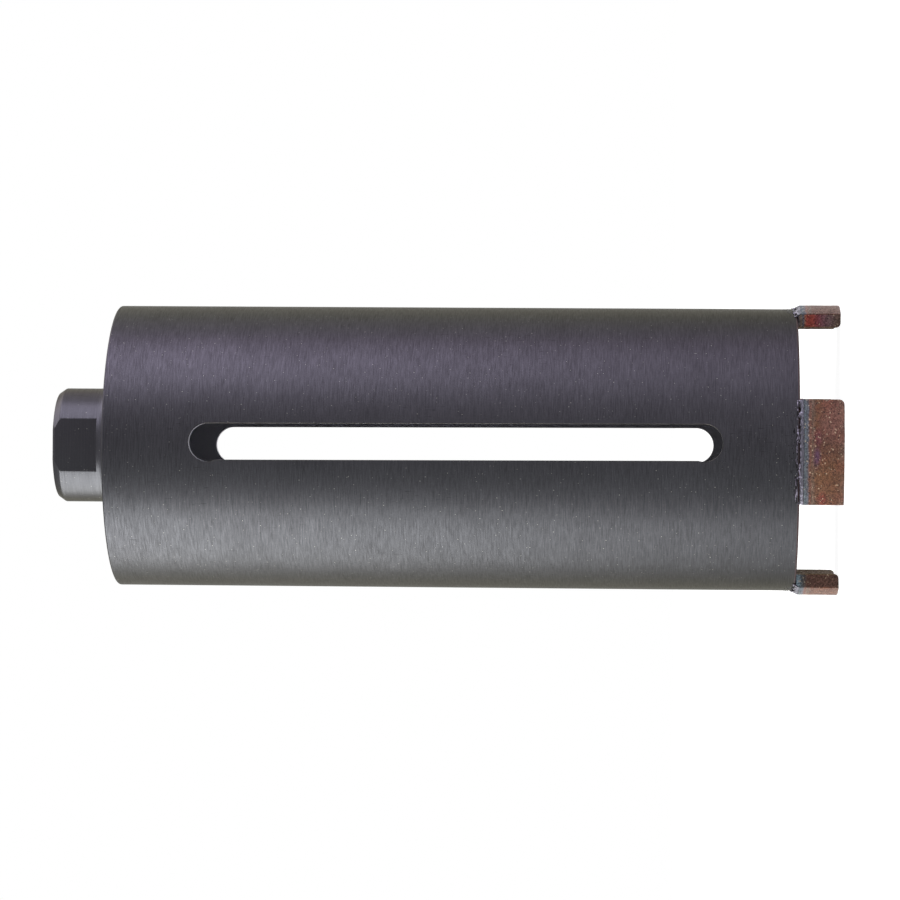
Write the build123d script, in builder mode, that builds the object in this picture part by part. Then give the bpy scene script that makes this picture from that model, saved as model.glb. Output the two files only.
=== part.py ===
from build123d import *
from math import asin, cos, degrees, radians, sin
import os

# Dry diamond core bit: a slotted steel barrel with a threaded hub in one end and
# diamond segments laser-welded to the other.
#
# All sizes are in millimetres. +Z runs along the axis from the segments to the hub,
# and the origin is on the axis in the plane of the segments' tips. -Y is the front.

# ---------------------------------------------------------------- driving dimensions

# Barrel: a length of steel tube
barrel_diameter = 66.0
barrel_wall = 2.0
barrel_length = 159.0
barrel_edge_round = 0.5

# Slots: one straight cut through the front wall and one through the back
slot_width = 8.3
slot_foot = 17.5  # from the barrel's lower end to the front slot
slot_hub_margin = 20.2  # from the front slot to the barrel's hub end
slot_offset = 1.25  # the front slot lies beside the axis, towards +X
slot_lean = 0.25  # degrees off the axis
slot_back_rise = 1.1  # the back slot sits this much nearer the hub
slot_back_shift = -0.5  # and this much nearer the axis
cutter_entry_oversize = 0.4  # the cutter's entry hole is wider than the slot
cutter_exit_oversize = 0.2

# Segments: sintered metal and diamond, in arcs round the barrel's end
segment_count = 4
segment_chord = 24.2
segment_height = 10.0
segment_overhang_outside = 1.0  # proud of the barrel's outer wall
segment_overhang_inside = 0.6  # proud of the barrel's bore
segment_tip_round = 1.1  # rounded inner edge of each tip
segment_turn = -0.9  # the ring of segments is turned by this many degrees
chipped_corner = 1.3  # worn corner of the front segment

# Laser-weld seam along the root of each segment
weld_leg = 0.9  # up the barrel's wall, and down the segment's side
weld_crown = 0.12

# Hub: end plate, collar and threaded boss, turned in one piece
plate_thickness = 6.0
hub_diameter = 26.8
hub_height = 14.6  # above the barrel's end
collar_height = 4.2
hub_root_round = 4.8  # the wrench flats run out into it
hub_chamfer_radial = 1.2
hub_chamfer_axial = 1.7
flat_depth = 1.4  # each wrench flat is milled this far into the boss
flat_edge_break = 0.5
thread_diameter = 16.0
thread_pitch = 2.0
thread_lead_in = 0.5  # the mouths are opened this much past the thread

# Weld that holds the plate in the barrel
hub_weld_leg = 1.5
hub_weld_crown = 0.3

# ------------------------------------------------------------------- worked-out sizes

barrel_radius = barrel_diameter / 2
bore_radius = barrel_radius - barrel_wall
barrel_foot = segment_height
barrel_top = barrel_foot + barrel_length

segment_outer_radius = barrel_radius + segment_overhang_outside
segment_inner_radius = bore_radius - segment_overhang_inside
weld_middle = (barrel_radius + segment_outer_radius) / 2  # between the seam's two toes
segment_arc = 2 * degrees(asin(segment_chord / 2 / segment_outer_radius))
segment_pitch = 360 / segment_count
FRONT = -90  # azimuth of -Y

hub_radius = hub_diameter / 2
hub_top = barrel_top + hub_height
flats_foot = barrel_top + collar_height
flats_across = hub_diameter - 2 * flat_depth
tap_radius = (thread_diameter - thread_pitch) / 2
mouth_radius = thread_diameter / 2 + thread_lead_in
mouth_depth = mouth_radius - tap_radius
plate_underside = barrel_top - plate_thickness

slot_run = barrel_length - slot_foot - slot_hub_margin - slot_width
slot_middle = barrel_foot + slot_foot + slot_width / 2 + slot_run / 2


def segment_plane(index):
    """The plane of one end of a segment: local x runs outwards, local y runs up."""
    start = radians(FRONT + segment_turn + index * segment_pitch - segment_arc / 2)
    outwards = (cos(start), sin(start), 0)
    across = (sin(start), -cos(start), 0)
    return Plane(origin=(0, 0, 0), x_dir=outwards, z_dir=across)


# ---------------------------------------------------------------------------- barrel

with BuildPart() as barrel:
    with BuildSketch(Plane.XY.offset(barrel_foot)):
        Circle(barrel_radius)
        Circle(bore_radius, mode=Mode.SUBTRACT)
    extrude(amount=barrel_length)
    top_face = barrel.faces().sort_by(Axis.Z)[-1]
    fillet(top_face.edges().sort_by(SortBy.LENGTH)[-1], barrel_edge_round)

    # Each slot is a slit between two holes: the cutter went in at the hub end.
    for outwards, shift, rise in ((-1, 0, 0), (1, slot_back_shift, slot_back_rise)):
        centre = (slot_offset + shift, slot_middle + rise)
        ends = ((-1, cutter_exit_oversize), (1, cutter_entry_oversize))
        with BuildSketch(Plane.XZ):
            with Locations(Location(centre, slot_lean)):
                Rectangle(slot_width, slot_run)
                for upwards, oversize in ends:
                    # The hole touches one side of the slot and dips past the other.
                    with Locations((-oversize / 2, upwards * slot_run / 2)):
                        Circle((slot_width + oversize) / 2)
        extrude(amount=-outwards * barrel_diameter, mode=Mode.SUBTRACT)
barrel.part.label = "barrel"

# ------------------------------------------------------------------------------- hub

with BuildPart() as hub:
    with BuildSketch(Plane.XZ) as section:
        with BuildLine():
            Polyline(
                (tap_radius, plate_underside + mouth_depth),
                (mouth_radius, plate_underside),
                (bore_radius, plate_underside),
                (bore_radius, barrel_top - hub_weld_leg),
                (bore_radius - hub_weld_leg, barrel_top),
                (hub_radius, barrel_top),
                (hub_radius, hub_top - hub_chamfer_axial),
                (hub_radius - hub_chamfer_radial, hub_top),
                (mouth_radius, hub_top),
                (tap_radius, hub_top - mouth_depth),
                close=True,
            )
        make_face()
        root = section.vertices().sort_by_distance((hub_radius, barrel_top))[0]
        fillet(root, hub_root_round)
    revolve(axis=Axis.Z)

    # Two wrench flats, open at the top and stopped by the collar.
    with BuildSketch(Plane.XY.offset(flats_foot)):
        Circle(hub_diameter)
        Rectangle(2 * hub_diameter, flats_across, mode=Mode.SUBTRACT)
    extrude(amount=hub_height, mode=Mode.SUBTRACT)
    chamfer(hub.edges().filter_by(Axis.X).group_by(Axis.Z)[-1], flat_edge_break)
hub.part.label = "hub"

# -------------------------------------------------------------------------- hub weld

with BuildPart() as hub_weld:
    with BuildSketch(Plane.XZ):
        with BuildLine():
            Polyline(
                (bore_radius, barrel_top - hub_weld_leg),
                (bore_radius, barrel_top),
                (bore_radius - hub_weld_leg / 2, barrel_top + hub_weld_crown),
                (bore_radius - hub_weld_leg, barrel_top),
                close=True,
            )
        make_face()
    revolve(axis=Axis.Z)
hub_weld.part.label = "hub_weld"

# --------------------------------------------------------------- segments and seams

segments = []
segment_welds = []
for index in range(segment_count):
    plane = segment_plane(index)

    with BuildPart() as segment:
        with BuildSketch(plane) as section:
            with BuildLine():
                Polyline(
                    (segment_inner_radius, 0),
                    (segment_outer_radius, 0),
                    (segment_outer_radius, segment_height - weld_leg),
                    (barrel_radius, segment_height),
                    (segment_inner_radius, segment_height),
                    close=True,
                )
            make_face()
            inner_tip = section.vertices().sort_by_distance((segment_inner_radius, 0))[0]
            fillet(inner_tip, segment_tip_round)
        revolve(axis=Axis.Z, revolution_arc=segment_arc)
        if index == 0:
            tip_edges = segment.edges().filter_by(GeomType.LINE).group_by(Axis.Z)[0]
            fillet(tip_edges.sort_by(Axis.X)[-1], chipped_corner)
    segment.part.label = f"segment_{index + 1}"
    segments.append(segment.part)

    with BuildPart() as weld:
        with BuildSketch(plane):
            with BuildLine():
                Polyline(
                    (segment_outer_radius, segment_height - weld_leg),
                    (barrel_radius, segment_height),
                    (barrel_radius, segment_height + weld_leg),
                    (weld_middle + weld_crown, segment_height),
                    close=True,
                )
            make_face()
        revolve(axis=Axis.Z, revolution_arc=segment_arc)
    weld.part.label = f"segment_weld_{index + 1}"
    segment_welds.append(weld.part)

# ----------------------------------------------------------------------------- files

os.makedirs("parts", exist_ok=True)
for piece in (barrel.part, hub.part, hub_weld.part, *segments, *segment_welds):
    export_step(piece, f"parts/{piece.label}.step")
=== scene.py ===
import random
from math import cos, pi, radians, sin, sqrt

import bmesh
import bpy
from mathutils import Matrix, Vector


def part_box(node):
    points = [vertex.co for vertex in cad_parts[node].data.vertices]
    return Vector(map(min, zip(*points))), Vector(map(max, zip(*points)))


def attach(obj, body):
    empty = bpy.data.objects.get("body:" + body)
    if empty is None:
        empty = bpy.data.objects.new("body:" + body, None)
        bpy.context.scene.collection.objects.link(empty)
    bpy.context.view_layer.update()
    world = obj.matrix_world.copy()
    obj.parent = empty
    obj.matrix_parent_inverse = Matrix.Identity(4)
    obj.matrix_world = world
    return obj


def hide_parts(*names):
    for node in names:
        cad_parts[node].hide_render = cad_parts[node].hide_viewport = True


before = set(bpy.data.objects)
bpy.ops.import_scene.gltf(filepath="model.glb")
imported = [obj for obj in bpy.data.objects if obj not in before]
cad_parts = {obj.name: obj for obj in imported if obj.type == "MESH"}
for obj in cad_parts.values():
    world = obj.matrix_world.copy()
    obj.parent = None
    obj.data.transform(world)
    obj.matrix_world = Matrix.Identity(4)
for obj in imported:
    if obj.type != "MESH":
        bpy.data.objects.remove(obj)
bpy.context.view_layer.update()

MM = 0.001

# ------------------------------------------------------------------- sizes from the frame

barrel_low, barrel_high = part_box("barrel")
hub_low, hub_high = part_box("hub")
barrel_radius = barrel_high.x
barrel_foot = barrel_low.z
barrel_top = barrel_high.z
barrel_length = barrel_top - barrel_foot
bore_radius = hub_high.x
hub_top = hub_high.z
plate_underside = hub_low.z

# --------------------------------------------------------------- sizes of the fine forms

barrel_wall = barrel_radius - bore_radius
barrel_sides = 288  # faces round the tube
barrel_rings = 20  # and along it
hub_end_round = 0.5 * MM
foot_edge_round = 0.4 * MM

slot_width = 8.3 * MM
slot_foot = 17.5 * MM
slot_hub_margin = 20.2 * MM
slot_run = barrel_length - slot_foot - slot_hub_margin - slot_width
slot_middle = barrel_foot + slot_foot + slot_width / 2 + slot_run / 2
slot_offset = 1.25 * MM
slot_lean = radians(0.25)
slot_back_rise = 1.1 * MM
slot_back_shift = -0.5 * MM
drill_entry_oversize = 0.4 * MM
drill_exit_oversize = 0.2 * MM
drill_depth = 10 * MM  # well through the wall
drill_sides = 72
slot_edge_break = 0.08 * MM

hub_radius = 13.4 * MM
hub_root_round = 4.8 * MM
hub_chamfer_radial = 1.2 * MM
hub_chamfer_axial = 1.7 * MM
collar_height = 4.2 * MM
flats_foot = barrel_top + collar_height
flats_half = 12.0 * MM
flat_edge_break = 0.5 * MM
hub_edge_break = 0.18 * MM
hub_sides = 192  # faces round the hub

thread_radius = 8.0 * MM
thread_pitch = 2.0 * MM
thread_lead_in = 0.5 * MM
thread_crest = thread_pitch / 8
thread_steps = 72  # to a turn
flank_slope = 0.57735  # the tangent of 30 degrees
tap_radius = thread_radius - thread_pitch / 2
mouth_radius = thread_radius + thread_lead_in
mouth_depth = mouth_radius - tap_radius

hub_weld_leg = 1.5 * MM
hub_weld_voxel = 0.2 * MM

segment_names = ["segment_1", "segment_2", "segment_3", "segment_4"]
segment_overhang_outside = 1.0 * MM
segment_overhang_inside = 0.6 * MM
segment_radius = barrel_radius + segment_overhang_outside
segment_inner_radius = bore_radius - segment_overhang_inside
segment_turn = radians(-0.9)
segment_half_arc = radians(20.84)
segment_voxel = 0.16 * MM
seam_voxel = 0.1 * MM


# ------------------------------------------------------------------------ modelling tools


def only(piece):
    """Makes the piece the one selected object."""
    bpy.ops.object.select_all(action="DESELECT")
    piece.select_set(True)
    bpy.context.view_layer.objects.active = piece


def fresh(name):
    """The primitive just added, named, with its place in its mesh."""
    piece = bpy.context.object
    piece.name = name
    only(piece)
    bpy.ops.object.transform_apply(location=True, rotation=True, scale=True)
    return piece


def edit(piece):
    """Opens the piece in edit mode, to work on points."""
    only(piece)
    bpy.context.tool_settings.mesh_select_mode = (True, False, False)
    bpy.ops.object.mode_set(mode="EDIT")


def done():
    """Back to object mode."""
    bpy.ops.object.mode_set(mode="OBJECT")


def select(piece, kind, wanted):
    """In edit mode, selects the verts, edges or faces for which wanted() is true."""
    kinds = ("verts", "edges", "faces")
    bpy.context.tool_settings.mesh_select_mode = [kind == k for k in kinds]
    bpy.ops.mesh.select_all(action="DESELECT")
    mesh = bmesh.from_edit_mesh(piece.data)
    for element in getattr(mesh, kind):
        if wanted(element):
            element.select_set(True)
    mesh.select_flush_mode()
    bmesh.update_edit_mesh(piece.data)


def modify(piece, kind, **settings):
    """Adds a modifier with its settings and applies it."""
    only(piece)
    modifier = piece.modifiers.new(kind.lower(), kind)
    for name, value in settings.items():
        setattr(modifier, name, value)
    bpy.ops.object.modifier_apply(modifier=modifier.name)


def cut(piece, tool, finish=None):
    """Takes the tool's shape out of the piece, with a finish of its own on the new walls."""
    if finish:
        tool.data.materials.append(finish)
    modify(
        piece,
        "BOOLEAN",
        operation="DIFFERENCE",
        solver="EXACT",
        material_mode="TRANSFER",
        object=tool,
    )
    bpy.data.objects.remove(tool)


def weld_points(piece, distance):
    """Merges the points that lie closer together than the distance."""
    edit(piece)
    bpy.ops.mesh.select_all(action="SELECT")
    bpy.ops.mesh.remove_doubles(threshold=distance)
    done()


def outwards(piece):
    """Turns every face outwards."""
    edit(piece)
    bpy.ops.mesh.select_all(action="SELECT")
    bpy.ops.mesh.normals_make_consistent(inside=False)
    done()


def smooth(piece, angle=30):
    """Shades the piece smooth, with edges sharper than the angle crisp and flats flat."""
    only(piece)
    bpy.ops.object.shade_smooth_by_angle(angle=radians(angle))
    modify(piece, "WEIGHTED_NORMAL", keep_sharp=True)


def joined(pieces):
    """All the pieces as one."""
    bpy.ops.object.select_all(action="DESELECT")
    for piece in pieces:
        piece.select_set(True)
    bpy.context.view_layer.objects.active = pieces[0]
    bpy.ops.object.join()
    return pieces[0]


def copied(piece, matrix):
    """A copy of the piece with its own mesh, moved by the matrix."""
    twin = piece.copy()
    twin.data = piece.data.copy()
    twin.data.transform(matrix)
    bpy.context.scene.collection.objects.link(twin)
    return twin


def drawn(name, outline):
    """A line through (radius, height) points in the XZ plane, drawn by extruding a point."""
    radius, height = outline[0]
    bpy.ops.mesh.primitive_plane_add(size=MM, location=(radius, 0, height))
    piece = fresh(name)
    edit(piece)
    bpy.ops.mesh.merge(type="CENTER")
    for next_radius, next_height in outline[1:]:
        step = (next_radius - radius, 0, next_height - height)
        bpy.ops.mesh.extrude_region_move(TRANSFORM_OT_translate={"value": step})
        radius, height = next_radius, next_height
    done()
    return piece


def turned(name, outline, sides):
    """A piece turned about Z from a closed outline of (radius, height) points."""
    piece = drawn(name, [*outline, outline[0]])
    weld_points(piece, 0.001 * MM)
    edit(piece)
    bpy.ops.mesh.select_all(action="SELECT")
    bpy.ops.mesh.spin(steps=sides, angle=2 * pi, center=(0, 0, 0), axis=(0, 0, 1))
    done()
    weld_points(piece, 0.002 * MM)
    outwards(piece)
    return piece


def roughened(piece, size, height):
    """Wears the surface down by up to the height, in lumps of the size."""
    texture = bpy.data.textures.new("lumps", "CLOUDS")
    texture.noise_scale = size
    modify(
        piece,
        "DISPLACE",
        texture=texture,
        texture_coords="LOCAL",
        strength=height,
        mid_level=1.0,
    )
    bpy.data.textures.remove(texture)


def is_sharp(edge):
    """Whether an edge's two faces turn by more than 50 degrees."""
    return len(edge.link_faces) == 2 and edge.calc_face_angle() > radians(50)


def middle(edge):
    """The point halfway along an edge."""
    return (edge.verts[0].co + edge.verts[1].co) / 2


# ------------------------------------------------------------------------------ materials


def paint(code):
    """A linear colour from an sRGB hex code such as #8A8F94."""
    parts = [int(code[i : i + 2], 16) / 255 for i in (1, 3, 5)]
    linear = [p / 12.92 if p <= 0.04045 else ((p + 0.055) / 1.055) ** 2.4 for p in parts]
    return (*linear, 1.0)


def add(tree, kind, inputs, **settings):
    """A node with its settings and links.

    An input goes by its name or its number, and is a value, a socket, or a node, whose first
    open output is meant. A MapRange has value, from low, from high, to low, to high as its
    inputs 0 to 4, and a colour Mix has its share as 0 and its two colours as 6 and 7.
    """
    node = tree.nodes.new("ShaderNode" + kind)
    for name, value in settings.items():
        setattr(node, name, value)
    for name, value in inputs.items():
        if isinstance(value, bpy.types.Node):
            value = next(output for output in value.outputs if output.enabled)
        if isinstance(value, bpy.types.NodeSocket):
            tree.links.new(value, node.inputs[name])
        else:
            node.inputs[name].default_value = value
    return node


def started(name):
    """A new material: itself, its tree, its shader, and the place on the piece in metres."""
    material = bpy.data.materials.new(name)
    material.use_nodes = True
    tree = material.node_tree
    place = add(tree, "TexCoord", {}).outputs["Object"]
    return material, tree, tree.nodes["Principled BSDF"], place


def lumps(tree, place, size, detail=2.0, waver=0.0):
    """A cloudy pattern from 0 to 1 whose lumps have the (x, y, z) size in metres."""
    scaled = add(tree, "Mapping", {"Vector": place, "Scale": [1 / length for length in size]})
    settings = {"Vector": scaled, "Scale": 1.0, "Detail": detail, "Distortion": waver}
    return add(tree, "TexNoise", {**settings, "Roughness": 0.6}).outputs[0]


def specks(tree, place, spacing, radius):
    """Small round specks of unequal strength, from 0 to 1, about one to each spacing."""
    cells = add(tree, "TexVoronoi", {"Vector": place, "Scale": 1 / spacing})
    chance = add(tree, "SeparateColor", {0: cells.outputs["Color"]})
    strength = add(tree, "MapRange", {0: chance, 1: 0.25, 2: 1.0, 3: 0.0, 4: 1.0})
    edge = radius / spacing
    from_speck = {0: cells.outputs["Distance"], 1: 0.3 * edge, 2: 1.2 * edge, 3: 1.0, 4: 0.0}
    speck = add(tree, "MapRange", from_speck)
    return add(tree, "Math", {0: speck, 1: strength}, operation="MULTIPLY")


def shaded(tree, colour, shades):
    """The colour, made lighter and darker by patterns.

    Each is (pattern, low, high): the colour is multiplied by low where the pattern is at 0.3
    or less, and by high where it is at 0.7 or more.
    """
    for pattern, low, high in shades:
        share = add(tree, "MapRange", {0: pattern, 1: 0.3, 2: 0.7, 3: low, 4: high})
        colour = add(tree, "VectorMath", {0: colour, "Scale": share}, operation="SCALE")
    return colour


def blackened_steel(name, dark, painted_purple_light, finish, streak, contrast):
    """Black-oxide steel, brushed or turned round its axis, with grey dust on it.

    It looks satin and nearly black, with painted shade darkening it towards the segments and
    painted light lightening it towards the hub, fine broken rings where the marks catch the
    light, a purple tint painted on one side for the light falling from +X, and a few dark
    scuffs along the axis. The finish is the roughness of the smooth and of the rough marks,
    and the streak is a mark's length and width.
    """
    material, tree, shader, place = started(name)
    length, width = streak
    marks = lumps(tree, place, (length, length, width), detail=4.0, waver=0.35)
    clouds = lumps(tree, place, (14 * MM, 14 * MM, 9 * MM), detail=3.0)
    grain = lumps(tree, place, (0.3 * MM, 0.3 * MM, 0.3 * MM))

    # Painted light: a purple tint of the light falling from +X, which grows towards +X and is
    # gone again at the far edge.
    axes = add(tree, "SeparateXYZ", {0: place}).outputs
    sides = {0: axes["X"], 1: -0.2 * barrel_radius, 2: 0.8 * barrel_radius, 3: 0.0, 4: 1.0}
    painted_purple_tint = add(tree, "MapRange", sides)
    flank = {0: axes["X"], 1: 0.74 * barrel_radius, 2: 0.92 * barrel_radius, 3: 1.0, 4: 0.0}
    painted_tint_fade = add(tree, "MapRange", flank)
    painted_purple_tint = add(tree, "Math", {0: painted_purple_tint, 1: painted_tint_fade}, operation="MULTIPLY")
    colour = add(tree, "Mix", {0: painted_purple_tint, 6: paint(dark), 7: paint(painted_purple_light)}, data_type="RGBA")
    shades = (
        (marks, 1 - contrast, 1 + contrast),
        (clouds, 0.94, 1.06),
        (grain, 0.92, 1.08),
    )
    colour = shaded(tree, colour.outputs[2], shades)
    # Painted light and shade: darker towards the segments and lighter towards the hub, as the
    # light falls from above.
    painted_shade_at_foot, painted_light_at_top = 0.86, 1.06
    inputs = {0: axes["Z"], 1: barrel_foot, 2: barrel_top, 3: painted_shade_at_foot, 4: painted_light_at_top}
    along = add(tree, "MapRange", inputs)
    colour = add(tree, "VectorMath", {0: colour, "Scale": along}, operation="SCALE")

    # Dark scuffs along the axis lie only where the wall was rubbed.
    lines = lumps(tree, place, (0.3 * MM, 0.3 * MM, 3.5 * MM), detail=1.0)
    scratch = add(tree, "MapRange", {0: lines, 1: 0.68, 2: 0.74, 3: 0.0, 4: 0.35})
    area = lumps(tree, place, (9 * MM, 9 * MM, 30 * MM), detail=1.0)
    rubbed = add(tree, "MapRange", {0: area, 1: 0.55, 2: 0.65, 3: 0.0, 4: 1.0})
    scuff = add(tree, "Math", {0: scratch, 1: rubbed}, operation="MULTIPLY")
    kept = add(tree, "Math", {0: 1.0, 1: scuff}, operation="SUBTRACT")
    colour = add(tree, "VectorMath", {0: colour, "Scale": kept}, operation="SCALE")

    # The dust is no metal, and the marks are bright and smooth where they stand high.
    dust_spacing, dust_radius = 0.95 * MM, 0.085 * MM
    dust = specks(tree, place, dust_spacing, dust_radius)
    colour = add(tree, "Mix", {0: dust, 6: colour, 7: paint("#9E9C98")}, data_type="RGBA")
    tree.links.new(colour.outputs[2], shader.inputs["Base Color"])
    bare = add(tree, "Math", {0: 1.0, 1: dust}, operation="SUBTRACT")
    tree.links.new(bare.outputs[0], shader.inputs["Metallic"])
    smooth_finish, rough_finish = finish
    worn = add(tree, "MapRange", {0: marks, 1: 0.3, 2: 0.7, 3: rough_finish, 4: smooth_finish})
    tree.links.new(worn.outputs[0], shader.inputs["Roughness"])
    shader.inputs["Specular Tint"].default_value = paint("#C6C4BA")
    relief = add(tree, "Bump", {"Height": marks, "Strength": 1.0, "Distance": 0.008 * MM})
    tree.links.new(relief.outputs[0], shader.inputs["Normal"])
    return material


def cut_steel_edge():
    """Mild steel laid bare along a cut edge: a thin dull line, uneven along its run."""
    material, tree, shader, place = started("bare_steel_cut_edge")
    wear = lumps(tree, place, (1.2 * MM, 1.2 * MM, 1.2 * MM), detail=3.0)
    inputs = {0: wear, 6: paint("#1E1C1B"), 7: paint("#45413D")}
    colour = add(tree, "Mix", inputs, data_type="RGBA")
    tree.links.new(colour.outputs[2], shader.inputs["Base Color"])
    shader.inputs["Metallic"].default_value = 1.0
    shader.inputs["Roughness"].default_value = 0.42
    return material


def heated_steel_edge():
    """Tube end next to the welds: oxide burnt to a dull brown-violet by the heat."""
    material, tree, shader, place = started("heat_browned_steel")
    burn = lumps(tree, place, (2 * MM, 2 * MM, 2 * MM), detail=3.0)
    inputs = {0: burn, 6: paint("#2A2022"), 7: paint("#4E3C3E")}
    colour = add(tree, "Mix", inputs, data_type="RGBA")
    tree.links.new(colour.outputs[2], shader.inputs["Base Color"])
    shader.inputs["Metallic"].default_value = 0.8
    shader.inputs["Roughness"].default_value = 0.5
    return material


def scaled_steel():
    """Tube steel as rolled, with its dull grey scale still on: the bore and slot walls.

    Painted shade makes it darker towards the open end.
    """
    material, tree, shader, place = started("mill_scaled_steel")
    scale = lumps(tree, place, (3 * MM, 3 * MM, 3 * MM), detail=4.0)
    inputs = {0: scale, 6: paint("#8C8D9A"), 7: paint("#98969D")}
    colour = add(tree, "Mix", inputs, data_type="RGBA")
    height = add(tree, "SeparateXYZ", {0: place}).outputs["Z"]
    # Painted shade: the bore is darkened towards the open end of the tube.
    painted_shade_at_open_end = 0.45
    slot_end = barrel_foot + slot_foot
    inputs = {0: height, 1: slot_end, 2: slot_middle, 3: painted_shade_at_open_end, 4: 1.0}
    along = add(tree, "MapRange", inputs)
    inputs = {0: colour.outputs[2], "Scale": along}
    colour = add(tree, "VectorMath", inputs, operation="SCALE")
    tree.links.new(colour.outputs[0], shader.inputs["Base Color"])
    shader.inputs["Metallic"].default_value = 0.0
    shader.inputs["Roughness"].default_value = 0.65
    return material


def seam_metal():
    """Laser-weld metal as it froze: violet-silver ridges, partly a painted highlight, blued at
    the toe, sooty above.
    """
    material, tree, shader, place = started("laser_weld_steel")
    ripple = lumps(tree, place, (1.3 * MM, 1.3 * MM, 0.5 * MM), detail=3.0, waver=0.4)
    # Silver on the raised ripples: bare weld metal, and partly a painted highlight on them.
    silver_and_painted_highlight = add(tree, "MapRange", {0: ripple, 1: 0.47, 2: 0.6, 3: 0.0, 4: 1.0})
    inputs = {0: silver_and_painted_highlight, 6: paint("#211F23"), 7: paint("#857E90")}
    colour = add(tree, "Mix", inputs, data_type="RGBA")
    height = add(tree, "SeparateXYZ", {0: place}).outputs["Z"]
    fade = 0.5 * MM
    toe_top = barrel_foot + 0.15 * MM
    toe = add(tree, "MapRange", {0: height, 1: toe_top - fade, 2: toe_top, 3: 0.8, 4: 0.0})
    inputs = {0: ripple, 6: paint("#34343C"), 7: paint("#6C6A76")}
    blued = add(tree, "Mix", inputs, data_type="RGBA")
    inputs = {0: toe, 6: colour.outputs[2], 7: blued.outputs[2]}
    colour = add(tree, "Mix", inputs, data_type="RGBA")
    soot_foot = barrel_foot + 0.75 * MM
    inputs = {0: height, 1: soot_foot, 2: soot_foot + fade, 3: 1.0, 4: 0.28}
    soot = add(tree, "MapRange", inputs)
    inputs = {0: colour.outputs[2], "Scale": soot}
    colour = add(tree, "VectorMath", inputs, operation="SCALE")
    tree.links.new(colour.outputs[0], shader.inputs["Base Color"])
    shader.inputs["Metallic"].default_value = 0.9
    rough = add(tree, "MapRange", {0: ripple, 1: 0.4, 2: 0.65, 3: 0.55, 4: 0.3})
    tree.links.new(rough.outputs[0], shader.inputs["Roughness"])
    relief = add(tree, "Bump", {"Height": ripple, "Strength": 1.0, "Distance": 0.03 * MM})
    tree.links.new(relief.outputs[0], shader.inputs["Normal"])
    return material


def soot_and_shade_black():
    """Soot and painted shade in the seam's pits and cracks: dead black, with a little grain."""
    material, tree, shader, place = started("weld_soot_and_painted_shade")
    grain = lumps(tree, place, (0.3 * MM, 0.3 * MM, 0.3 * MM))
    inputs = {0: grain, 6: paint("#0E0D0E"), 7: paint("#252224")}
    colour = add(tree, "Mix", inputs, data_type="RGBA")
    tree.links.new(colour.outputs[2], shader.inputs["Base Color"])
    shader.inputs["Roughness"].default_value = 0.8
    return material


# Heat tints up a segment, as (height above the tips in mm, colour): its outer face, and its
# ends, which are reddened on one segment and brown on the others
FACE_TINTS = (
    (0.0, "#5C4740"),
    (0.9, "#573F37"),
    (1.6, "#4E342C"),
    (6.4, "#4E342C"),
    (7.0, "#52433C"),
    (7.4, "#56453E"),
    (7.7, "#5E3E36"),
    (8.0, "#5E433D"),
    (8.3, "#4A4B53"),
    (9.0, "#484F56"),
    (9.3, "#4D4A50"),
    (10.0, "#4C464C"),
)
RED_END_TINTS = (
    (0.0, "#4A3631"),
    (1.1, "#58463F"),
    (2.8, "#634C4E"),
    (4.2, "#68444A"),
    (5.2, "#703A40"),
    (6.6, "#7E3830"),
    (7.9, "#7C3730"),
    (8.3, "#7C5242"),
    (8.7, "#4E5059"),
    (9.3, "#6A5A50"),
    (10.0, "#42424A"),
)
BROWN_END_TINTS = (
    (0.0, "#4E3831"),
    (4.0, "#563D35"),
    (7.4, "#523A33"),
    (8.1, "#464342"),
    (8.7, "#4C5156"),
    (9.2, "#66737D"),
    (9.7, "#6A7984"),
    (10.0, "#5A656E"),
)


def tinted(tree, height, tints):
    """The colour at a height from a list of tints."""
    top = tints[-1][0] * MM
    share = add(tree, "MapRange", {0: height, 1: 0.0, 2: top})
    ramp = add(tree, "ValToRGB", {0: share})
    stops = ramp.color_ramp.elements
    stops[0].position, stops[0].color = 0.0, paint(tints[0][1])
    stops[1].position, stops[1].color = 1.0, paint(tints[-1][1])
    for level, code in tints[1:-1]:
        stop = stops.new(level * MM / top)
        stop.color = paint(code)
    return ramp.outputs[0]


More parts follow.
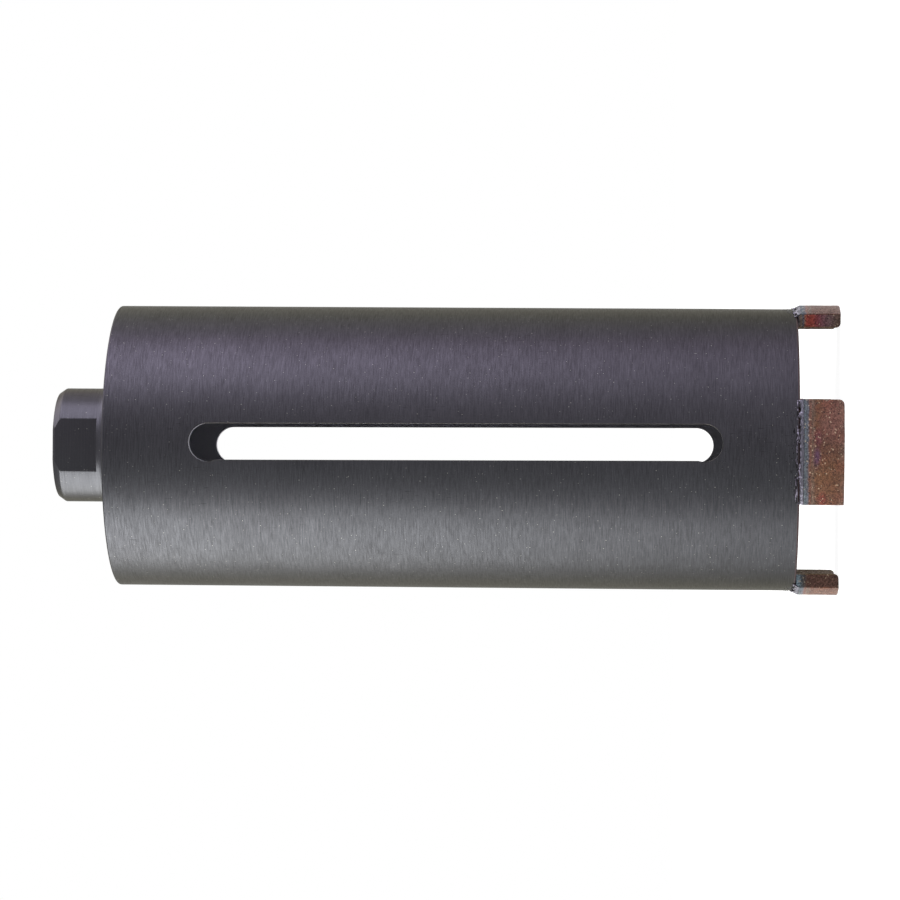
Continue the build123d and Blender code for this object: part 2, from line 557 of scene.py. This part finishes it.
def sintered_bronze(name, end_tints, blotches, burns, seed):
    """Sintered bronze and diamond: a dull red-brown body full of light and dark grit.

    The weld's heat has tinted it in bands: straw, copper and then blue-grey at the root.
    Its ends have tints of their own, and a strip next to the bore is yellower. A blotch is
    (colour, size in mm, amount) and lies anywhere on the outer face. A burn is (colour,
    place, half size, amount), in mm. The seed moves the patterns, so that no two segments
    are alike.
    """
    material, tree, shader, place = started(name)
    shift = (0.01 * seed, 0.02 * seed, 0)
    moved = add(tree, "Mapping", {"Vector": place, "Location": shift}).outputs[0]
    height = add(tree, "SeparateXYZ", {0: place}).outputs["Z"]
    waver = lumps(tree, moved, (1.8 * MM, 1.8 * MM, 1.8 * MM), detail=4.0)
    inputs = {0: waver, 1: 1.0 * MM, 2: height}
    wavered = add(tree, "Math", inputs, operation="MULTIPLY_ADD")
    wavered = add(tree, "Math", {0: wavered, 1: 0.5 * MM}, operation="SUBTRACT")

    face = tinted(tree, wavered, FACE_TINTS)
    body = add(tree, "MapRange", {0: height, 1: 6.5 * MM, 2: 8.0 * MM, 3: 1.0, 4: 0.0})
    for index, (code, size, amount) in enumerate(blotches):
        offset = {"Vector": moved, "Location": (0.05 * (index + 1), 0, 0)}
        elsewhere = add(tree, "Mapping", offset).outputs[0]
        patch = lumps(tree, elsewhere, (size * MM, size * MM, size * MM), detail=3.0)
        patch = add(tree, "MapRange", {0: patch, 1: 0.46, 2: 0.66, 3: 0.0, 4: amount})
        share = add(tree, "Math", {0: patch, 1: body}, operation="MULTIPLY")
        inputs = {0: share, 6: face, 7: paint(code)}
        face = add(tree, "Mix", inputs, data_type="RGBA").outputs[2]
    for code, centre, half_size, amount in burns:
        from_centre = {
            "Vector": place,
            "Location": [-c / h for c, h in zip(centre, half_size)],
            "Scale": [1 / (h * MM) for h in half_size],
        }
        offset = add(tree, "Mapping", from_centre)
        distance = add(tree, "VectorMath", {0: offset}, operation="LENGTH").outputs["Value"]
        ragged = add(tree, "Math", {0: waver, 1: 1.2, 2: distance}, operation="MULTIPLY_ADD")
        burn = add(tree, "MapRange", {0: ragged, 1: 0.9, 2: 1.9, 3: amount, 4: 0.0})
        inputs = {0: burn, 6: face, 7: paint(code)}
        face = add(tree, "Mix", inputs, data_type="RGBA").outputs[2]

    # The ends, and the strip next to the bore, are told by their distance to the axis.
    flat_place = add(tree, "VectorMath", {0: place, 1: (1, 1, 0)}, operation="MULTIPLY")
    radius = add(tree, "VectorMath", {0: flat_place}, operation="LENGTH").outputs["Value"]
    skin, skin_fade = 0.25 * MM, 0.15 * MM
    outer = segment_radius - skin
    inside = add(tree, "MapRange", {0: radius, 1: outer - skin_fade, 2: outer, 3: 1.0, 4: 0.0})
    inputs = {0: inside, 6: face, 7: tinted(tree, wavered, end_tints)}
    colour = add(tree, "Mix", inputs, data_type="RGBA").outputs[2]
    strip_width, strip_fade = 0.4 * MM, 0.2 * MM
    strip = segment_inner_radius + strip_width
    by_bore = add(tree, "MapRange", {0: radius, 1: strip - strip_fade, 2: strip, 3: 0.85, 4: 0.0})
    inputs = {0: by_bore, 6: colour, 7: paint("#6A563F")}
    colour = add(tree, "Mix", inputs, data_type="RGBA").outputs[2]

    # Every grain has its own lightness, and a few are pale crystals or black pits. The
    # real grains are finer than this; these are as coarse as they need to be to show.
    grain_size = 0.26 * MM
    grains = add(tree, "TexVoronoi", {"Vector": moved, "Scale": 1 / grain_size})
    chance = add(tree, "SeparateColor", {0: grains.outputs["Color"]}).outputs[0]
    lightness = add(tree, "MapRange", {0: chance, 1: 0.0, 2: 1.0, 3: 0.5, 4: 1.5})
    colour = add(tree, "VectorMath", {0: colour, "Scale": lightness}, operation="SCALE")
    pale = add(tree, "MapRange", {0: chance, 1: 0.97, 2: 0.98, 3: 0.0, 4: 0.6})
    inputs = {0: pale, 6: colour, 7: paint("#A8957F")}
    colour = add(tree, "Mix", inputs, data_type="RGBA")
    pit = add(tree, "MapRange", {0: chance, 1: 0.015, 2: 0.025, 3: 0.9, 4: 0.0})
    inputs = {0: pit, 6: colour.outputs[2], 7: paint("#221C1E")}
    colour = add(tree, "Mix", inputs, data_type="RGBA")
    tree.links.new(colour.outputs[2], shader.inputs["Base Color"])
    shader.inputs["Metallic"].default_value = 0.35
    shader.inputs["Specular IOR Level"].default_value = 0.25
    rough = add(tree, "MapRange", {0: chance, 1: 0.0, 2: 1.0, 3: 0.68, 4: 0.48})
    tree.links.new(rough.outputs[0], shader.inputs["Roughness"])
    relief = add(tree, "Bump", {"Height": chance, "Strength": 0.6, "Distance": 0.03 * MM})
    tree.links.new(relief.outputs[0], shader.inputs["Normal"])
    return material


def diamond_grit():
    """Synthetic diamond grains: small pale yellow-green crystals with a glassy glint."""
    material, tree, shader, place = started("synthetic_diamond_grit")
    tint = lumps(tree, place, (0.6 * MM, 0.6 * MM, 0.6 * MM), detail=1.0)
    inputs = {0: tint, 6: paint("#7A6A50"), 7: paint("#B8AE98")}
    colour = add(tree, "Mix", inputs, data_type="RGBA")
    tree.links.new(colour.outputs[2], shader.inputs["Base Color"])
    shader.inputs["Metallic"].default_value = 0.0
    shader.inputs["Roughness"].default_value = 0.2
    shader.inputs["IOR"].default_value = 2.4
    return material


barrel_finish = blackened_steel(
    "brushed_black_oxide_steel",
    dark="#3A3A3E",
    painted_purple_light="#3E3A42",
    finish=(0.38, 0.46),
    streak=(3.2 * MM, 0.22 * MM),
    contrast=0.26,
)
hub_finish = blackened_steel(
    "turned_black_oxide_steel",
    dark="#3C3C40",
    painted_purple_light="#403C44",
    finish=(0.32, 0.4),
    streak=(8 * MM, 0.2 * MM),
    contrast=0.12,
)
edge_finish = cut_steel_edge()
burnt_finish = heated_steel_edge()
bore_finish = scaled_steel()
seam_finish = seam_metal()
soot_and_shade_finish = soot_and_shade_black()
grain_finish = diamond_grit()
front_blotches = (("#63342A", 5, 0.55), ("#593F29", 4, 0.45))
front_burns = (
    ("#62412B", (-7, -34, 3.5), (7, 5, 4.5), 0.5),
    ("#6E4A44", (7, -34, 2.0), (6, 5, 3.5), 0.5),
    ("#3F2C44", (-1.6, -34, 6.3), (2.6, 5, 0.8), 0.75),
    ("#682624", (-11.5, -34, 5.0), (1.7, 5, 1.2), 0.7),
    ("#562834", (2.5, -34, 6.0), (2.2, 5, 0.8), 0.5),
)
right_blotches = (("#553B30", 3, 0.6),)
left_blotches = (("#6E4633", 3, 0.6),)
segment_finishes = [
    sintered_bronze("sintered_bronze_front", BROWN_END_TINTS, front_blotches, front_burns, 1),
    sintered_bronze("sintered_bronze_right", RED_END_TINTS, right_blotches, (), 2),
    sintered_bronze("sintered_bronze_back", BROWN_END_TINTS, front_blotches, (), 3),
    sintered_bronze("sintered_bronze_left", BROWN_END_TINTS, left_blotches, (), 4),
]

# --------------------------------------------------------------------------------- barrel

# The tube's material slots
OXIDE, BARE_EDGE, BURNT_END, MILL_SCALE = range(4)


def slot_centre(outwards_y):
    """The middle of the slot in the front wall (-1) or the back wall (1)."""
    back = outwards_y > 0
    x = slot_offset + (slot_back_shift if back else 0)
    z = slot_middle + (slot_back_rise if back else 0)
    return Vector((x, outwards_y * (barrel_radius - barrel_wall / 2), z))


def cut_slot(tube, centre):
    """One slot: a slit between two drilled holes, each dipping past the slit's -X side."""
    bpy.ops.mesh.primitive_cube_add(
        size=1,
        location=centre,
        rotation=(0, -slot_lean, 0),
        scale=(slot_width, drill_depth, slot_run),
    )
    cut(tube, fresh("slit"), bore_finish)
    lean = Matrix.Rotation(-slot_lean, 3, "Y")
    for up, oversize in ((-1, drill_exit_oversize), (1, drill_entry_oversize)):
        offset = lean @ Vector((-oversize / 2, 0, up * slot_run / 2))
        bpy.ops.mesh.primitive_cylinder_add(
            vertices=drill_sides,
            radius=(slot_width + oversize) / 2,
            depth=drill_depth,
            location=centre + offset,
            rotation=(pi / 2, -slot_lean, 0),
        )
        cut(tube, fresh("drill"), bore_finish)


def barrel_tube():
    """The steel tube: rolled wall, rounded hub end, two slots with broken edges."""
    bpy.ops.mesh.primitive_cylinder_add(
        vertices=barrel_sides,
        radius=barrel_radius,
        depth=barrel_length,
        end_fill_type="NOTHING",
        location=(0, 0, barrel_foot + barrel_length / 2),
    )
    tube = fresh("barrel_tube")
    for finish in (barrel_finish, edge_finish, burnt_finish, bore_finish):
        tube.data.materials.append(finish)
    edit(tube)
    along_tube = barrel_length / 2
    select(tube, "edges", lambda e: abs(e.verts[0].co.z - e.verts[1].co.z) > along_tube)
    bpy.ops.mesh.subdivide(number_cuts=barrel_rings - 1)
    done()
    modify(
        tube,
        "SOLIDIFY",
        thickness=barrel_wall,
        offset=-1,
        use_even_offset=True,
        material_offset=MILL_SCALE,
        material_offset_rim=BURNT_END,
    )

    near = 0.1 * MM

    def rim(edge, height, radius):
        at_height = all(abs(v.co.z - height) < near for v in edge.verts)
        return at_height and all(abs(v.co.xy.length - radius) < near for v in edge.verts)

    edit(tube)
    select(tube, "edges", lambda e: rim(e, barrel_top, barrel_radius))
    bpy.ops.mesh.bevel(offset=hub_end_round, segments=5, affect="EDGES", clamp_overlap=False)
    select(tube, "faces", lambda f: all(v.co.z > barrel_top - barrel_wall for v in f.verts))
    tube.active_material_index = OXIDE
    bpy.ops.object.material_slot_assign()
    select(tube, "edges", lambda e: rim(e, barrel_foot, barrel_radius))
    bpy.ops.mesh.bevel(
        offset=foot_edge_round,
        segments=3,
        affect="EDGES",
        clamp_overlap=False,
        material=BURNT_END,
    )
    done()

    for side in (-1, 1):
        cut_slot(tube, slot_centre(side))
    weld_points(tube, 0.015 * MM)

    def slot_edge(edge):
        place = middle(edge)
        inside = barrel_foot + near < place.z < barrel_top - near
        return inside and abs(place.x) < slot_width and is_sharp(edge)

    edit(tube)
    select(tube, "edges", slot_edge)
    bpy.ops.mesh.bevel(
        offset=slot_edge_break,
        segments=1,
        affect="EDGES",
        clamp_overlap=False,
        material=BARE_EDGE,
    )
    done()
    smooth(tube)
    return tube


# ------------------------------------------------------------------------------------ hub


def threaded_rod():
    """A rod in the shape of the thread, which cuts the thread into the hub's bore."""
    clearance = 0.3 * MM  # so that the rod's root does not touch the bore
    root = tap_radius - clearance
    flank = (thread_radius - root) * flank_slope
    gap = thread_pitch - thread_crest - 2 * flank
    start = plate_underside - 2 * thread_pitch
    outline = [
        (root, start),
        (root, start + gap),
        (thread_radius, start + gap + flank),
        (thread_radius, start + gap + flank + thread_crest),
        (root, start + thread_pitch),
    ]
    rod = drawn("threaded_rod", outline)
    spare_turns = 4
    turns = int((hub_top - plate_underside) / thread_pitch) + spare_turns
    modify(
        rod,
        "SCREW",
        steps=thread_steps,
        render_steps=thread_steps,
        screw_offset=thread_pitch,
        iterations=turns,
        use_merge_vertices=True,
        merge_threshold=0.005 * MM,
    )
    weld_points(rod, 0.005 * MM)
    edit(rod)
    bpy.ops.mesh.select_all(action="DESELECT")
    bpy.ops.mesh.select_mode(type="EDGE")
    bpy.ops.mesh.select_non_manifold(extend=False)
    bpy.ops.mesh.fill_holes(sides=0)
    done()
    outwards(rod)
    return rod


def eased(before, corner, after):
    """The two points that take the place of an outline's corner once its edge is broken."""
    middle_point = Vector(corner)
    legs = [(Vector(end) - middle_point).normalized() for end in (before, after)]
    return [tuple(middle_point + leg * hub_edge_break) for leg in legs]


def hub_turning():
    """End plate and threaded boss, turned in one piece, with two milled wrench flats."""
    chamfer_foot = (hub_radius, hub_top - hub_chamfer_axial)
    chamfer_top = (hub_radius - hub_chamfer_radial, hub_top)
    mouth_edge = (mouth_radius, hub_top)
    root_steps = 12
    root = [
        (
            hub_radius + hub_root_round * (1 - sin(turn)),
            barrel_top + hub_root_round * (1 - cos(turn)),
        )
        for turn in (radians(90) * step / root_steps for step in range(root_steps + 1))
    ]
    outline = [
        (tap_radius, plate_underside + mouth_depth),
        (mouth_radius, plate_underside),
        (bore_radius, plate_underside),
        (bore_radius, barrel_top - hub_weld_leg),
        (bore_radius - hub_weld_leg, barrel_top),
        *root,
        *eased((hub_radius, barrel_top), chamfer_foot, chamfer_top),
        *eased(chamfer_foot, chamfer_top, mouth_edge),
        mouth_edge,
        (tap_radius, hub_top - mouth_depth),
    ]
    hub = turned("hub_turning", outline, hub_sides)

    flat_tool = 20 * MM
    for side in (-1, 1):
        bpy.ops.mesh.primitive_cube_add(
            size=1,
            location=(0, side * (flats_half + flat_tool / 2), flats_foot + flat_tool / 2),
            scale=(3 * flat_tool, flat_tool, flat_tool),
        )
        cut(hub, fresh("mill"))
        # The flat's lip is filed off at 45 degrees.
        lip = Vector((0, side * flats_half, hub_top))
        slanted = Vector((0, side, 1)).normalized()
        reach = (flat_tool - sqrt(2) * flat_edge_break) / 2
        bpy.ops.mesh.primitive_cube_add(
            size=flat_tool,
            location=lip + slanted * reach,
            rotation=(radians(45), 0, 0),
        )
        cut(hub, fresh("file"))
    weld_points(hub, 0.01 * MM)
    cut(hub, threaded_rod())
    weld_points(hub, 0.004 * MM)
    smooth(hub)
    return hub


# ---------------------------------------------------------------------------- weld seams


def drop(detail):
    """A drop of weld metal of unit size, to be copied: rounder with more detail."""
    bpy.ops.mesh.primitive_ico_sphere_add(subdivisions=detail, radius=0.5)
    return fresh("drop")


def sized(size):
    """The matrix that gives a piece of unit size its three sizes."""
    return Matrix.Diagonal((*size, 1))


def hub_weld_ring():
    """Arc weld round the plate: one overlapping scale after another, as it was laid."""
    scales = 118
    scale_size = (2.1 * MM, 2.7 * MM, 1.0 * MM)
    sunk = 0.28 * MM
    inwards = 0.45 * hub_weld_leg
    radius = bore_radius - inwards
    rng = random.Random(7)
    first = drop(detail=3)
    ring = []
    for index in range(scales):
        turn = Matrix.Rotation(2 * pi * index / scales, 4, "Z")
        outwards_by = rng.uniform(-0.12, 0.12) * MM
        upwards_by = rng.uniform(-0.05, 0.05) * MM
        place = (radius + outwards_by, 0, barrel_top - sunk + upwards_by)
        ring.append(copied(first, turn @ Matrix.Translation(place) @ sized(scale_size)))
    bpy.data.objects.remove(first)
    weld = joined(ring)
    weld.name = "hub_weld_ring"
    modify(weld, "REMESH", mode="VOXEL", voxel_size=hub_weld_voxel)
    modify(weld, "SMOOTH", factor=0.5, iterations=2)
    smooth(weld, angle=60)
    return weld


def segment_middle(index):
    """The azimuth of a segment's middle."""
    return radians(-90) + segment_turn + index * pi / 2


def seam_drops(rng, index, count, length, width, thickness, radius, height, reach=(-1, 1)):
    """Long drops strewn along a seam, as one piece.

    Each size and place is a range in mm: the radius is measured from the barrel's wall, the
    height from its foot, and the reach is in half lengths of the segment.
    """
    first = drop(detail=2)
    drops = []
    for _ in range(count):
        long = rng.uniform(*length) * MM
        free = segment_half_arc - long / 2 / barrel_radius
        turn = min(max(rng.uniform(*reach) * segment_half_arc, -free), free)
        turned_by = Matrix.Rotation(segment_middle(index) + turn, 4, "Z")
        out = barrel_radius + rng.uniform(*radius) * MM
        up = barrel_foot + rng.uniform(*height) * MM
        size = (rng.uniform(*thickness) * MM, long, rng.uniform(*width) * MM)
        place = Matrix.Translation((out, 0, up))
        drops.append(copied(first, turned_by @ place @ sized(size)))
    bpy.data.objects.remove(first)
    return joined(drops)


def seam(index):
    """Laser weld along one segment's root: ridges on a bead, pits in it, spatter beside it."""
    rng = random.Random(40 + index)
    bead = copied(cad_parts[f"segment_weld_{index + 1}"], Matrix.Identity(4))
    bead.name = f"segment_weld_{index + 1}_seam"
    weld_points(bead, 0.002 * MM)
    ridges = seam_drops(
        rng,
        index,
        count=13,
        length=(2.0, 4.6),
        width=(0.4, 0.6),
        thickness=(0.55, 0.85),
        radius=(0.05, 0.15),
        height=(0.35, 0.95),
    )
    bead = joined([bead, ridges])
    modify(bead, "REMESH", mode="VOXEL", voxel_size=seam_voxel)
    bead.data.materials.clear()
    bead.data.materials.append(seam_finish)

    pits = seam_drops(
        rng,
        index,
        count=6,
        length=(0.7, 1.8),
        width=(0.5, 0.9),
        thickness=(0.7, 1.1),
        radius=(0.2, 0.35),
        height=(0.1, 0.7),
        reach=(-1, 0.9),
    )
    great_pit = seam_drops(
        rng,
        index,
        count=1,
        length=(1.5, 1.6),
        width=(1.0, 1.1),
        thickness=(1.0, 1.1),
        radius=(0.2, 0.2),
        height=(0.5, 0.5),
        reach=(0.55, 0.6),
    )
    crack = seam_drops(
        rng,
        index,
        count=9,
        length=(1.6, 3.4),
        width=(0.3, 0.55),
        thickness=(0.9, 1.3),
        radius=(0.15, 0.25),
        height=(0.2, 0.5),
        reach=(-1, 0.15),
    )
    tool = joined([pits, great_pit, crack])
    modify(tool, "REMESH", mode="VOXEL", voxel_size=seam_voxel)
    # The walls of the pits and the crack are painted black: soot, and painted shade.
    cut(bead, tool, soot_and_shade_finish)
    roughened(bead, size=0.45 * MM, height=0.15 * MM)
    modify(bead, "SMOOTH", factor=0.4, iterations=1)

    flakes = seam_drops(
        rng,
        index,
        count=16,
        length=(0.3, 1.2),
        width=(0.12, 0.35),
        thickness=(0.1, 0.16),
        radius=(0.0, 0.02),
        height=(0.9, 2.2),
    )
    spatter = seam_drops(
        rng,
        index,
        count=22,
        length=(0.12, 0.26),
        width=(0.12, 0.26),
        thickness=(0.12, 0.22),
        radius=(0.0, 0.0),
        height=(1.0, 3.2),
    )
    for strewn in (flakes, spatter):
        strewn.data.materials.append(seam_finish)
    bead = joined([bead, flakes, spatter])
    smooth(bead, angle=50)
    return bead


# ------------------------------------------------------------------------------ segments


def chip_tool():
    """A rough lump of unit size, which breaks chips out of a segment."""
    lump = drop(detail=2)
    roughened(lump, size=1.2, height=0.4)
    return lump


def on_face(index, turn, height, depth=0.0):
    """The matrix to a place on a segment's outer face, sunk in by the depth."""
    turned_by = Matrix.Rotation(segment_middle(index) + turn, 4, "Z")
    return turned_by @ Matrix.Translation((segment_radius - depth, 0, height))


def segment(index):
    """One sintered segment: the plain arc, chipped, pitted and rough."""
    rng = random.Random(11 + index)
    piece = copied(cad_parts[segment_names[index]], Matrix.Identity(4))
    piece.name = f"{segment_names[index]}_sintered"
    weld_points(piece, 0.002 * MM)

    # A nick in one end of the front segment, chips along the tip, and one chip on each end
    chips = []
    if index == 0:
        nick_size = (1.8 * MM, 1.8 * MM, 2.2 * MM)
        nick_height = 3.9 * MM
        chips.append((on_face(index, segment_half_arc, nick_height), nick_size))
    tip_chips = 7
    for _ in range(tip_chips):
        turn = rng.uniform(-1, 1) * segment_half_arc
        chips.append((on_face(index, turn, 0), [rng.uniform(0.35, 0.75) * MM] * 3))
    for side in (-1, 1):
        place = on_face(index, side * segment_half_arc, rng.uniform(2, 8) * MM)
        chips.append((place, [rng.uniform(0.35, 0.7) * MM] * 3))
    tool = chip_tool()
    for place, size in chips:
        cut(piece, copied(tool, place @ sized(size)))
    bpy.data.objects.remove(tool)

    modify(piece, "REMESH", mode="VOXEL", voxel_size=segment_voxel)
    modify(piece, "SMOOTH", factor=0.5, iterations=2)
    roughened(piece, size=0.5 * MM, height=0.07 * MM)
    roughened(piece, size=2.5 * MM, height=0.06 * MM)
    smooth(piece, angle=60)
    return piece


def diamond_grain():
    """A diamond grain of unit size: a cube with its corners grown flat, as it is pressed."""
    inside_unit_ball = 1 / sqrt(3)
    bpy.ops.mesh.primitive_cube_add(size=inside_unit_ball)
    grain = fresh("grain")
    edit(grain)
    bpy.ops.mesh.select_all(action="SELECT")
    bpy.ops.mesh.bevel(offset=0.22, segments=1, affect="VERTICES", clamp_overlap=True)
    done()
    return grain


def grit(index):
    """Diamond grains that stand out of one segment's outer face."""
    rng = random.Random(90 + index)
    grain_count = 16
    first = diamond_grain()
    grains = []
    for _ in range(grain_count):
        size = rng.uniform(0.14, 0.26) * MM
        turn = rng.uniform(-0.97, 0.97) * segment_half_arc
        height = rng.uniform(0.3, 7.5) * MM
        tipped = Matrix.Rotation(rng.uniform(0, pi), 4, (1, 1, 0))
        place = on_face(index, turn, height, size / 2)
        grains.append(copied(first, place @ tipped @ sized((size, size, size))))
    bpy.data.objects.remove(first)
    piece = joined(grains)
    piece.name = f"{segment_names[index]}_grit"
    return piece


# --------------------------------------------------------------------------- dress it all


def dress(piece, finish, slot, *nodes):
    """Gives a piece its finish and its body, and hides the nodes it stands for. The slot is not
    used.
    """
    if finish:
        piece.data.materials.clear()
        piece.data.materials.append(finish)
    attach(piece, "root")
    if nodes:
        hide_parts(*nodes)


dress(barrel_tube(), None, "barrel_steel", "barrel")
dress(hub_turning(), hub_finish, "hub_steel", "hub")
dress(hub_weld_ring(), hub_finish, "weld_metal", "hub_weld")
for index, name in enumerate(segment_names):
    dress(segment(index), segment_finishes[index], "diamond_segment", name)
    dress(grit(index), grain_finish, "diamond_segment")
    dress(seam(index), None, "weld_metal", f"segment_weld_{index + 1}")


# ----------------------------------------------------------------------- studio and light


def studio_floor():
    """White floor: it shows as plain white, and still takes a faint shadow."""
    width = 12
    bpy.ops.mesh.primitive_plane_add(size=width)
    floor = fresh("studio_floor")
    material = bpy.data.materials.new("white_studio_floor")
    material.use_nodes = True
    tree = material.node_tree
    matt = add(tree, "BsdfDiffuse", {"Color": (0.3, 0.3, 0.3, 1)})
    glow = add(tree, "Emission", {"Color": (1, 1, 1, 1), "Strength": 0.93})
    seen = add(tree, "AddShader", {0: matt, 1: glow})
    lit = add(tree, "BsdfDiffuse", {"Color": (0.8, 0.8, 0.8, 1)})
    rays = add(tree, "LightPath", {})
    direct = add(
        tree,
        "Math",
        {0: rays.outputs["Is Camera Ray"], 1: rays.outputs["Is Glossy Ray"]},
        operation="MAXIMUM",
    )
    either = add(tree, "MixShader", {0: direct, 1: lit, 2: seen})
    tree.links.new(either.outputs[0], tree.nodes["Material Output"].inputs["Surface"])
    floor.data.materials.append(material)


def studio_world():
    """White surroundings, seen and mirrored as full white and dimmer as a light.

    As in a light tent, there is an opening on the camera's side, which is mirrored darker.
    """
    world = bpy.data.worlds.new("white_studio")
    world.use_nodes = True
    bpy.context.scene.world = world
    tree = world.node_tree
    rays = add(tree, "LightPath", {})
    direction = add(tree, "TexCoord", {}).outputs["Generated"]
    backwards = add(tree, "SeparateXYZ", {0: direction}).outputs["Y"]
    opening_middle, opening_rim = -1.0, -0.8
    inputs = {0: backwards, 1: opening_middle, 2: opening_rim, 3: 0.0, 4: 1.0}
    tent = add(tree, "MapRange", inputs)
    inputs = {0: rays.outputs["Is Glossy Ray"], 1: tent}
    mirrored = add(tree, "Math", inputs, operation="MULTIPLY")
    seen = add(
        tree,
        "Math",
        {0: rays.outputs["Is Camera Ray"], 1: rays.outputs["Is Transmission Ray"]},
        operation="MAXIMUM",
    )
    direct = add(tree, "Math", {0: seen, 1: mirrored}, operation="MAXIMUM")
    as_light, through_opening = 0.5, 0.38
    glossy = rays.outputs["Is Glossy Ray"]
    inputs = {0: glossy, 1: 0.0, 2: 1.0, 3: as_light, 4: through_opening}
    dimmed = add(tree, "MapRange", inputs)
    strength = add(tree, "MapRange", {0: direct, 1: 0.0, 2: 1.0, 3: dimmed, 4: 1.0})
    sky = tree.nodes["Background"]
    sky.inputs["Color"].default_value = (1, 1, 1, 1)
    tree.links.new(strength.outputs[0], sky.inputs["Strength"])


def softbox(name, azimuth, elevation, size, radiance, tint):
    """A rectangular soft box that faces the bit.

    azimuth is measured from the front towards +X, in degrees, and size is its width and
    height. radiance is how bright its face looks, and the lamp's power follows from it.
    """
    distance = 1.1
    target = Vector((0, 0, barrel_foot + barrel_length / 2))
    flat = cos(radians(elevation))
    towards = Vector(
        (sin(radians(azimuth)) * flat, -cos(radians(azimuth)) * flat, sin(radians(elevation)))
    )
    width, height = size
    lamp = bpy.data.lights.new(name, "AREA")
    lamp.shape = "RECTANGLE"
    lamp.size = width
    lamp.size_y = height
    lamp.energy = radiance * pi * width * height
    lamp.color = tint
    box = bpy.data.objects.new(name, lamp)
    bpy.context.scene.collection.objects.link(box)
    box.location = target + towards * distance
    box.rotation_euler = (-towards).to_track_quat("-Z", "Y").to_euler()
    box.visible_camera = False


studio_floor()
studio_world()
softbox("softbox_right", 69, 20, size=(0.9, 0.85), radiance=3.4, tint=(0.9, 0.9, 1.0))
softbox("softbox_left", -83, 22, size=(1.3, 0.9), radiance=8.0, tint=(0.98, 1.0, 0.93))
softbox("softbox_high", 114, 54, size=(0.9, 0.9), radiance=3.2, tint=(0.98, 0.97, 1.0))
softbox("softbox_back_right", 130, 14, size=(0.9, 0.8), radiance=0.75, tint=(1.0, 1.0, 0.97))
softbox("softbox_back_left", -132, 14, size=(0.6, 0.8), radiance=0.9, tint=(1.0, 1.0, 0.9))


# --------------------------------------------------------------------------------- camera


def camera():
    """The camera: level with the lower barrel, turned on its side, looking slightly up."""
    standpoint = (-0.000587, -0.869389, 0.043434)
    upward = radians(3.133)
    roll = radians(-89.593)
    lens = bpy.data.cameras.new("camera")
    lens.sensor_width = 36
    lens.lens = 147.63
    viewer = bpy.data.objects.new("camera", lens)
    bpy.context.scene.collection.objects.link(viewer)
    level = Matrix.Rotation(radians(90) + upward, 4, "X")
    on_its_side = Matrix.Rotation(roll, 4, "Z")
    viewer.matrix_world = Matrix.Translation(standpoint) @ level @ on_its_side
    bpy.context.scene.camera = viewer


camera()
bpy.context.scene.view_settings.view_transform = "Standard"
